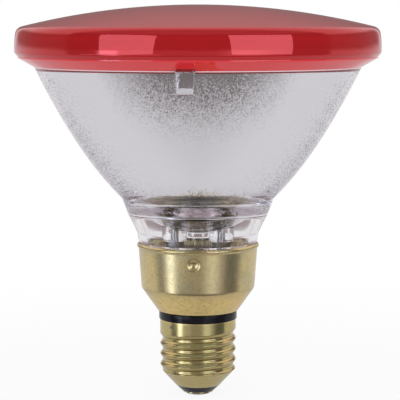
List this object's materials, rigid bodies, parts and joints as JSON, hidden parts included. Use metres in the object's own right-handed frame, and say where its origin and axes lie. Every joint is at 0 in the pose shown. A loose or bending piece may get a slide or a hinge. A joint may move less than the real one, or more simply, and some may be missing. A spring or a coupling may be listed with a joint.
{
  "type": "infrared heat lamp bulb",
  "caption": "Sealed heat lamp bulb: pressed glass reflector with a domed red lens, a waisted clear neck, a brass skirt and a threaded screw cap.",
  "frame": {"origin": "bottom centre of the centre contact, at the lower end of the screw cap", "axes": "+Z along the lamp's axis from the contact to the lens, -Y towards the locating lug under the flange and the first skirt dimple"},
  "size_m": [0.124, 0.124, 0.1336],
  "materials": {
    "brass": "bright drawn sheet",
    "solder": "dull tin solder",
    "black_glass": "glossy black insulating glass",
    "silvered_glass": "clear pressed glass, aluminium film inside the bowl",
    "ruby_glass": "smooth red pressed glass",
    "clear_glass": "clear tube",
    "lead_metal": "plain drawn metal",
    "filament_wire": "dark tungsten wire"
  },
  "bodies": {
    "root": {"contact_plate": "brass", "contact_solder": "solder", "tip_insulator": "black_glass", "screw_shell": "brass", "side_solder": "solder", "insulating_ring": "black_glass", "skirt": "brass", "reflector": "silvered_glass", "lens": "ruby_glass", "ferrule_left": "lead_metal", "ferrule_right": "lead_metal", "lead_rod_left": "lead_metal", "lead_rod_right": "lead_metal", "filament": "filament_wire", "exhaust_tube": "clear_glass", "centre_wire": "lead_metal", "side_wire": "lead_metal"}
  },
  "joints": []
}
